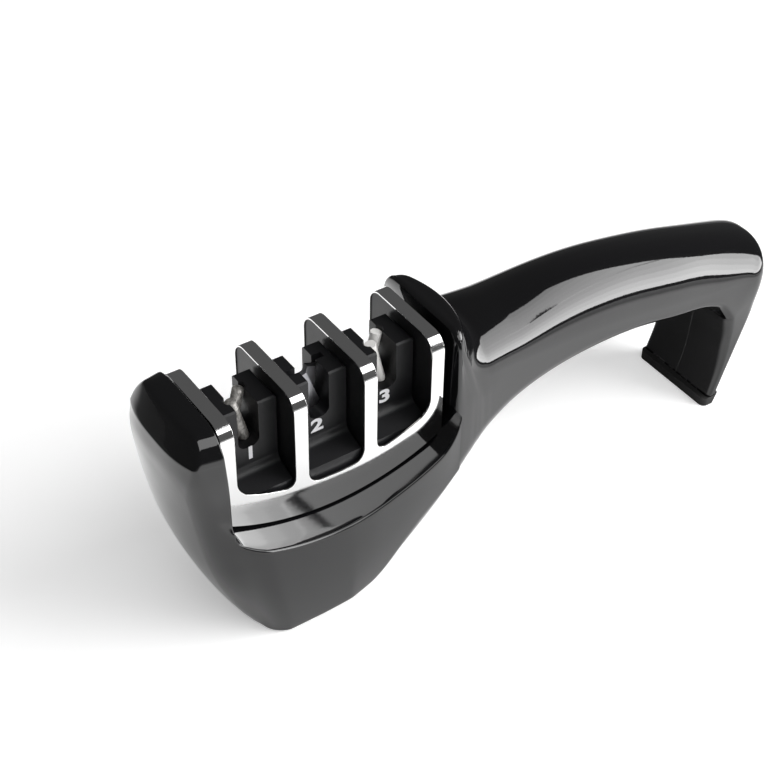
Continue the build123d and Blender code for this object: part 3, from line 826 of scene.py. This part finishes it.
class Tree:
    """A geometry node tree with named inputs, and the few nodes that the trees here share."""

    def __init__(self, name, **inputs):
        self.group = bpy.data.node_groups.new(name, "GeometryNodeTree")
        self.names = {}
        face = self.group.interface
        kinds = {float: "NodeSocketFloat", int: "NodeSocketInt", bool: "NodeSocketBool"}
        face.new_socket("Geometry", in_out="INPUT", socket_type="NodeSocketGeometry")
        for key, kind in inputs.items():
            made = face.new_socket(key, in_out="INPUT", socket_type=kinds.get(kind, kind))
            self.names[key] = made.identifier
        face.new_socket("Geometry", in_out="OUTPUT", socket_type="NodeSocketGeometry")
        self.entry = self.group.nodes.new("NodeGroupInput")
        self.leave = self.group.nodes.new("NodeGroupOutput")

    def node(self, kind, settings=None, **inputs):
        made = self.group.nodes.new(kind)
        for key, value in (settings or {}).items():
            setattr(made, key, value)
        for key, value in inputs.items():
            place = made.inputs[key.replace("_", " ")]
            if isinstance(value, bpy.types.NodeSocket):
                self.group.links.new(value, place)
            else:
                place.default_value = value
        return made

    def end(self, socket):
        self.group.links.new(socket, self.leave.inputs[0])

    def applied(self, name, **values):
        """Plain mesh object that the tree makes with these values."""
        holder = bpy.data.objects.new(name, bpy.data.meshes.new(name))
        bpy.context.scene.collection.objects.link(holder)
        made = holder.modifiers.new("made", "NODES")
        made.node_group = self.group
        for key, value in values.items():
            made[self.names[key]] = value
        bpy.context.view_layer.update()
        graph = bpy.context.evaluated_depsgraph_get()
        mesh = bpy.data.meshes.new_from_object(holder.evaluated_get(graph))
        holder.modifiers.clear()
        holder.data = mesh
        mesh.name = name
        return holder


# Grains: smallest and largest size against the set one, how many on a square metre, and their turn
grain_sizes = (0.4, 1.3)
grain_density = 9e6
full_turn = 6.28


def gritted_rod():
    """Tree for a rod whose skin carries grains in random places, turns and sizes."""
    tree = Tree(
        "gritted_rod",
        Radius=float,
        Length=float,
        Grain=float,
        Density=float,
        Seed=int,
        Finish="NodeSocketMaterial",
    )
    given = tree.entry.outputs
    rod = tree.node(
        "GeometryNodeMeshCylinder", Vertices=40, Radius=given["Radius"], Depth=given["Length"]
    ).outputs["Mesh"]
    spots = tree.node(
        "GeometryNodeDistributePointsOnFaces", Mesh=rod, Density=given["Density"], Seed=given["Seed"]
    )
    grain = tree.node("GeometryNodeMeshIcoSphere", Radius=given["Grain"], Subdivisions=1).outputs["Mesh"]
    size = tree.node("FunctionNodeRandomValue", {"data_type": "FLOAT"}, Seed=given["Seed"])
    ends = [i for i in size.inputs if i.type == "VALUE" and i.name in ("Min", "Max")]
    for place, value in zip(ends, grain_sizes):
        place.default_value = value
    turn = tree.node("FunctionNodeRandomValue", {"data_type": "FLOAT_VECTOR"}, Seed=given["Seed"])
    most = next(i for i in turn.inputs if i.name == "Max" and i.type == "VECTOR")
    most.default_value = (full_turn, full_turn, full_turn)
    laid = tree.node(
        "GeometryNodeInstanceOnPoints",
        Points=spots.outputs["Points"],
        Instance=grain,
        Rotation=next(o for o in turn.outputs if o.type == "VECTOR"),
        Scale=next(o for o in size.outputs if o.type == "VALUE"),
    )
    joined = tree.node("GeometryNodeJoinGeometry")
    for part in (laid.outputs["Instances"], rod):
        tree.group.links.new(part, joined.inputs["Geometry"])
    real = tree.node("GeometryNodeRealizeInstances", Geometry=joined.outputs["Geometry"])
    smooth = tree.node("GeometryNodeSetShadeSmooth", Geometry=real.outputs["Geometry"], Shade_Smooth=True)
    finish = tree.node(
        "GeometryNodeSetMaterial", Geometry=smooth.outputs["Geometry"], Material=given["Finish"]
    )
    tree.end(finish.outputs["Geometry"])
    return tree


def lean_like(piece, node, tilt):
    """Turns an upright piece at the origin to a tilted rod's place, in its mesh."""
    low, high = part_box(node)
    middle = (low + high) / 2
    piece.data.transform(Matrix.Translation(middle) @ Matrix.Rotation(tilt, 4, "Y"))


def digit(text, place, height, width_share, material):
    """Flat digit printed on an upright face that looks to the near side."""
    curve = bpy.data.curves.new("digit_" + text, "FONT")
    curve.body = text
    curve.size = height / digit_cap
    curve.offset = height * digit_weight
    curve.align_x, curve.align_y = "CENTER", "CENTER"
    curve.extrude = ink_depth / 2
    holder = bpy.data.objects.new("digit_" + text, curve)
    bpy.context.scene.collection.objects.link(holder)
    bpy.context.view_layer.update()
    mesh = bpy.data.meshes.new_from_object(holder)
    bpy.data.objects.remove(holder)
    mesh.name = "digit_" + text
    stretch = Matrix.Diagonal((width_share, 1, 1, 1))
    mesh.transform(Matrix.Translation(place) @ Matrix.Rotation(math.radians(90), 4, "X") @ stretch)
    made = bpy.data.objects.new("digit_" + text, mesh)
    bpy.context.scene.collection.objects.link(made)
    made.data.materials.clear()
    made.data.materials.append(material)
    return made


# Camera: focal length and film width in millimetres, place, directions and roll
camera_lens = 78.0
camera_film = 36.0
camera_place = (-0.2398, -0.3009, 0.3638)
camera_back = (-0.4323, -0.6279, 0.6472)
camera_right = (0.82369, -0.56704, 0)
camera_roll = math.radians(0.826)


def add_camera():
    data = bpy.data.cameras.new("photo_camera")
    data.lens = camera_lens
    data.sensor_width = camera_film
    data.clip_start, data.clip_end = 0.01, 20
    camera = bpy.data.objects.new("photo_camera", data)
    bpy.context.scene.collection.objects.link(camera)
    back = Vector(camera_back).normalized()
    level = Vector(camera_right).normalized()
    over = back.cross(level)
    cosine, sine = math.cos(camera_roll), math.sin(camera_roll)
    right, up = level * cosine + over * sine, over * cosine - level * sine
    rows = [(right[i], up[i], back[i], camera_place[i]) for i in range(3)]
    camera.matrix_world = Matrix((*rows, (0, 0, 0, 1)))
    bpy.context.scene.camera = camera
    return camera


def softbox(name, place, aim, width, height, level):
    """Rectangular area lamp whose face shines at a level, whatever its size."""
    data = bpy.data.lights.new(name, "AREA")
    data.shape = "RECTANGLE"
    data.size, data.size_y = width, height
    data.energy = level * math.pi * width * height
    lamp = bpy.data.objects.new(name, data)
    bpy.context.scene.collection.objects.link(lamp)
    lamp.location = place
    lamp.rotation_mode = "QUATERNION"
    lamp.rotation_quaternion = (Vector(aim) - Vector(place)).to_track_quat("-Z", "Y")
    return lamp


# Big gradient panel on the near right: elevation and level from its foot to its head, its strips,
# its half angle, and the elevation above which its strips stop short of the overhead lamp
panel_levels = [
    (1.5, 12.0), (12.0, 10.0), (22.0, 7.4), (32.0, 6.2), (44.0, 5.4), (56.0, 4.4), (62.0, 3.6),
]
panel_strips = 10
panel_half_angle = 20.0
panel_narrowing = 30.0
panel_upper_shift = 4.0
panel_base = 0.05

# Lamp overhead: place, size and level
overhead_place = (0.095, -0.710, 0.83)
overhead_size = (0.82, 0.44)
overhead_level = 3.4
lamp_aim = (-0.03, 0, 0.05)


def panel_strip(name, settings, low, high, level):
    """One level strip of the panel, upright, facing the object."""
    bearing, panel_distance = settings.bearing, settings.distance
    half_angle = panel_half_angle
    if low > panel_narrowing:
        bearing += math.radians(panel_upper_shift)
        half_angle -= panel_upper_shift
    bottom = panel_distance * math.tan(math.radians(low)) + panel_base
    top = panel_distance * math.tan(math.radians(high)) + panel_base
    width = 2 * panel_distance * math.tan(math.radians(half_angle))
    middle = (bottom + top) / 2
    place = (
        panel_distance * math.cos(bearing) + lamp_aim[0],
        panel_distance * math.sin(bearing),
        middle,
    )
    return softbox(name, place, (lamp_aim[0], 0, middle), width, top - bottom, level)


def fair_shading():
    """Tree that welds a mesh and shades it smooth apart from its sharp edges."""
    tree = Tree("fair_shading", Weld=float, Sharp=float)
    given = tree.entry.outputs
    welded = tree.node(
        "GeometryNodeMergeByDistance", Geometry=given["Geometry"], Distance=given["Weld"]
    )
    smooth = tree.node(
        "GeometryNodeSetShadeSmooth", Geometry=welded.outputs["Geometry"], Shade_Smooth=True
    )
    angle = tree.node("GeometryNodeInputMeshEdgeAngle")
    compare = tree.node(
        "FunctionNodeCompare", {"data_type": "FLOAT", "operation": "GREATER_THAN"}
    )
    tree.group.links.new(angle.outputs["Unsigned Angle"], compare.inputs[0])
    tree.group.links.new(given["Sharp"], compare.inputs[1])
    sharp = tree.node(
        "GeometryNodeSetShadeSmooth",
        {"domain": "EDGE"},
        Geometry=smooth.outputs["Geometry"],
        Selection=compare.outputs["Result"],
        Shade_Smooth=False,
    )
    tree.end(sharp.outputs["Geometry"])
    return tree


# Points closer than this are welded, and edges that turn by more than this stay sharp
weld_distance = 0.000002
sharp_angle = math.radians(26)


def crisp(node, tree):
    """Gives a solid its fair shading with flat faces kept flat."""
    shade = node.modifiers.new("fair_shading", "NODES")
    shade.node_group = tree.group
    shade[tree.names["Weld"]] = weld_distance
    shade[tree.names["Sharp"]] = sharp_angle
    weighted = node.modifiers.new("weighted_normal", "WEIGHTED_NORMAL")
    weighted.mode = "FACE_AREA"
    weighted.keep_sharp = True


# Table: half its size; ovals of painted shade on it, seen only in reflections, as place and reach; how
# much of its mirrored light is left in two of them; where its painted pool of mirrored light ends; and
# the share of each oval that is dimmed evenly
table_half = 0.75
head_shade_oval = ((-0.075, -0.014), (0.105, 0.100))
leg_shade_oval = ((0.070, 0.020), (0.070, 0.055))
foot_shade_oval = ((0.100, -0.022), (0.050, 0.040))
head_shade_level = 0.2
foot_shade_level = 0.35
painted_lit_reach = (0.24, 0.42)
shade_oval_edge = (0.35, 1.0)
# Glow of the table for camera rays, and for mirrored rays before the painted shade dims it
table_seen = 0.35
table_mirrored = 0.9

# World: level for rays mirrored by the object and for the light that it gives
world_mirrored = 0.11
world_light = 0.35


def add_floor():
    mesh = bpy.data.meshes.new("table_top")
    half = table_half
    corners = [(-half, -half, 0), (half, -half, 0), (half, half, 0), (-half, half, 0)]
    mesh.from_pydata(corners, [], [(0, 1, 2, 3)])
    floor = bpy.data.objects.new("table_top", mesh)
    bpy.context.scene.collection.objects.link(floor)
    paint = Paint("white_table")
    path = paint.node("ShaderNodeLightPath")
    seen = Wire(paint.tree, path.outputs["Is Camera Ray"])
    paint.set(Roughness=0.6, Specular_IOR_Level=0.2)
    gloss = Wire(paint.tree, path.outputs["Is Glossy Ray"])
    # Painted shade in the table's mirrored light: dark ovals by the head, the leg and the foot, and a
    # dark table beyond a near painted pool of light
    clear = (1 - paint.away((0, 0), (1, 1), *painted_lit_reach)) * paint.away(*leg_shade_oval, *shade_oval_edge)
    head_painted_shade = paint.ranged(paint.away(*head_shade_oval, *shade_oval_edge), head_shade_level, 1.0)
    foot_painted_shade = paint.ranged(paint.away(*foot_shade_oval, *shade_oval_edge), foot_shade_level, 1.0)
    shine = seen * table_seen + gloss * clear * head_painted_shade * foot_painted_shade * table_mirrored
    paint.set(
        # For mirrored rays the base colour also goes dark in the painted shade
        Base_Color=paint.mixed(gloss * (1 - clear), (0.88, 0.88, 0.88), (0.30, 0.30, 0.30)),
        Emission_Color=paint.mixed(shine, (0, 0, 0), (1, 1, 1)),
        Emission_Strength=1.0,
    )
    mesh.materials.append(paint.material)
    return floor


def add_world():
    world = bpy.data.worlds.new("studio")
    bpy.context.scene.world = world
    world.use_nodes = True
    tree = world.node_tree
    backdrop = tree.nodes["Background"]
    path = tree.nodes.new("ShaderNodeLightPath")
    passed = Wire(tree, path.outputs["Is Transmission Ray"])
    seen = Wire(tree, path.outputs["Is Camera Ray"]) + passed
    glossy = Wire(tree, path.outputs["Is Glossy Ray"])
    unseen = glossy * world_mirrored + (1 - glossy) * world_light
    level = seen + (1 - seen) * unseen
    backdrop.inputs["Color"].default_value = (1, 1, 1, 1)
    tree.links.new(level.socket, backdrop.inputs["Strength"])


def finish_nodes(prefix, material, tree):
    """Gives every node whose name starts alike its finish."""
    for name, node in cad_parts.items():
        if name.startswith(prefix):
            node.data.materials.clear()
            node.data.materials.append(material)
            crisp(node, tree)


class BodySettings(bpy.types.PropertyGroup):
    colour: FloatVectorProperty(
        name="Plastic colour", description="Colour of the gloss shell", subtype="COLOR", size=3,
        default=(0.0035, 0.0035, 0.004),
    )


class SleeveSettings(bpy.types.PropertyGroup):
    colour: FloatVectorProperty(
        name="Steel colour", description="Colour of the polished sleeve", subtype="COLOR", size=3,
        default=(0.70, 0.70, 0.70),
    )
    sheet: FloatProperty(
        name="Sheet", description="Thickness of the folded sheet", default=0.0006, unit="LENGTH"
    )
    fold: FloatProperty(
        name="Fold", description="Outer radius of the two long folds", default=0.0053, unit="LENGTH"
    )
    band: FloatProperty(
        name="Band", description="Width of the bands between the windows", default=0.0042, unit="LENGTH"
    )
    window: FloatProperty(
        name="Window", description="Length of each window", default=0.0182, unit="LENGTH"
    )
    rise: FloatProperty(
        name="Rise", description="Height of the sheet under a window", default=0.0105, unit="LENGTH"
    )
    rounding: FloatProperty(
        name="Corner", description="Radius of the windows' lower corners", default=0.0036, unit="LENGTH"
    )


class StageSettings(bpy.types.PropertyGroup):
    colour: FloatVectorProperty(
        name="Block colour", description="Colour of the matt stage blocks", subtype="COLOR", size=3,
        default=(0.008, 0.008, 0.009),
    )
    rod: FloatProperty(
        name="Rod", description="Radius of a diamond rod under its grit", default=0.00166, unit="LENGTH"
    )
    lean: FloatProperty(
        name="Lean", description="Tilt of a rod from upright", default=math.radians(14), unit="ROTATION"
    )
    grain: FloatProperty(
        name="Grain", description="Radius of a grain of grit", default=0.00009, unit="LENGTH"
    )
    digit: FloatProperty(
        name="Digit", description="Height of the digit on each block", default=0.0042, unit="LENGTH"
    )


class LightSettings(bpy.types.PropertyGroup):
    bearing: FloatProperty(
        name="Panel bearing", description="Bearing of the tall panel of light", unit="ROTATION",
        default=math.radians(-38),
    )
    distance: FloatProperty(
        name="Panel distance", description="Distance of the panel", default=1.1, unit="LENGTH"
    )


class SHARPENER_OT_body(bpy.types.Operator):
    """Makes the gloss shell of head, collar, handle and leg"""

    bl_idname = "sharpener.body"
    bl_label = "Body shell"

    def execute(self, context):
        shell = body_skin(gloss_black(context.scene.sharpener_body.colour))
        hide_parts("body_shell_left", "body_shell_right")
        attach(shell, "root")
        return {"FINISHED"}


class SHARPENER_OT_sleeve(bpy.types.Operator):
    """Makes the folded steel sleeve with its windows"""

    bl_idname = "sharpener.sleeve"
    bl_label = "Steel sleeve"

    def execute(self, context):
        settings = context.scene.sharpener_sleeve
        sleeve = sleeve_skin(settings)
        sleeve.data.materials.append(sleeve_steel(settings.colour))
        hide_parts("steel_cover")
        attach(sleeve, "root")
        return {"FINISHED"}


class SHARPENER_OT_stages(bpy.types.Operator):
    """Finishes the cartridge and its blocks, and prints a digit on each block"""

    bl_idname = "sharpener.stages"
    bl_label = "Stage blocks"

    def execute(self, context):
        settings = context.scene.sharpener_stages
        plastic, tree = matt_black(settings.colour), fair_shading()
        for prefix in ("cartridge_frame", "stage_block", "base_plate"):
            finish_nodes(prefix, plastic, tree)
        ink = print_white()
        for number, (reach, height, width) in enumerate(digit_places, 1):
            place = Vector((reach * MM, -block_half * MM - ink_depth, height * MM))
            made = digit(str(number), place, settings.digit, width, ink)
            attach(made, "root")
        return {"FINISHED"}


class SHARPENER_OT_rods(bpy.types.Operator):
    """Makes the diamond rods with their grit and finishes the ceramic rods"""

    bl_idname = "sharpener.rods"
    bl_label = "Rods"

    def execute(self, context):
        settings = context.scene.sharpener_stages
        tree, grit = gritted_rod(), diamond_grit()
        for seed, (name, hand) in enumerate((("front", 1), ("rear", -1)), 1):
            node = "diamond_rod_" + name
            low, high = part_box(node)
            slant = (high.z - low.z) / math.cos(settings.lean)
            length = slant - 2 * settings.rod * math.tan(settings.lean)
            rod = tree.applied(
                "diamond_rod_skin_" + name,
                Radius=settings.rod,
                Length=length,
                Grain=settings.grain,
                Density=grain_density,
                Seed=seed,
                Finish=grit,
            )
            lean_like(rod, node, -hand * settings.lean)
            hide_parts(node)
            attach(rod, "root")
        finish_nodes("ceramic_rod", white_ceramic(), fair_shading())
        return {"FINISHED"}


class SHARPENER_OT_blades(bpy.types.Operator):
    """Finishes the carbide blades"""

    bl_idname = "sharpener.blades"
    bl_label = "Blades"

    def execute(self, context):
        finish_nodes("carbide_blade", ground_carbide(), fair_shading())
        return {"FINISHED"}


class SHARPENER_OT_feet(bpy.types.Operator):
    """Finishes the rubber pads and the screws"""

    bl_idname = "sharpener.feet"
    bl_label = "Pads and screws"

    def execute(self, context):
        rubber, steel, tree = pad_rubber(), screw_steel(), fair_shading()
        for prefix, material in (
            ("base_pad", rubber), ("foot_pad", rubber), ("base_screw", steel), ("frame_screw", steel)
        ):
            finish_nodes(prefix, material, tree)
        return {"FINISHED"}


class SHARPENER_OT_stage(bpy.types.Operator):
    """Sets the table, the lights, the world and the camera"""

    bl_idname = "sharpener.stage"
    bl_label = "Stage and lights"

    def execute(self, context):
        context.scene.view_settings.view_transform = "Standard"
        add_camera()
        add_floor()
        add_world()
        settings = context.scene.sharpener_lights
        steps = np.linspace(panel_levels[0][0], panel_levels[-1][0], panel_strips + 1)
        for number, (low, high) in enumerate(zip(steps, steps[1:])):
            shine = float(steady(panel_levels, (low + high) / 2))
            panel_strip(f"panel_{number}", settings, float(low), float(high), shine)
        softbox("overhead", overhead_place, lamp_aim, *overhead_size, overhead_level)
        return {"FINISHED"}


class SHARPENER_PT_panel(bpy.types.Panel):
    """Lists the settings and the steps"""

    bl_label = "Sharpener"
    bl_idname = "SHARPENER_PT_panel"
    bl_space_type = "VIEW_3D"
    bl_region_type = "UI"
    bl_category = "Sharpener"

    def draw(self, context):
        for settings in groups:
            held = getattr(context.scene, settings)
            for key in held.__annotations__:
                self.layout.prop(held, key)
        for operator in operators:
            self.layout.operator(operator.bl_idname)


groups = {
    "sharpener_body": BodySettings,
    "sharpener_sleeve": SleeveSettings,
    "sharpener_stages": StageSettings,
    "sharpener_lights": LightSettings,
}
operators = (
    SHARPENER_OT_body,
    SHARPENER_OT_sleeve,
    SHARPENER_OT_stages,
    SHARPENER_OT_rods,
    SHARPENER_OT_blades,
    SHARPENER_OT_feet,
    SHARPENER_OT_stage,
)


def register():
    for made in (*groups.values(), *operators, SHARPENER_PT_panel):
        bpy.utils.register_class(made)
    for name, kind in groups.items():
        setattr(bpy.types.Scene, name, PointerProperty(type=kind))


def unregister():
    for name in groups:
        delattr(bpy.types.Scene, name)
    for made in (SHARPENER_PT_panel, *reversed(operators), *reversed(groups.values())):
        bpy.utils.unregister_class(made)


def main():
    register()
    bpy.ops.sharpener.body()
    bpy.ops.sharpener.sleeve()
    bpy.ops.sharpener.stages()
    bpy.ops.sharpener.rods()
    bpy.ops.sharpener.blades()
    bpy.ops.sharpener.feet()
    bpy.ops.sharpener.stage()


if __name__ == "__main__":
    main()
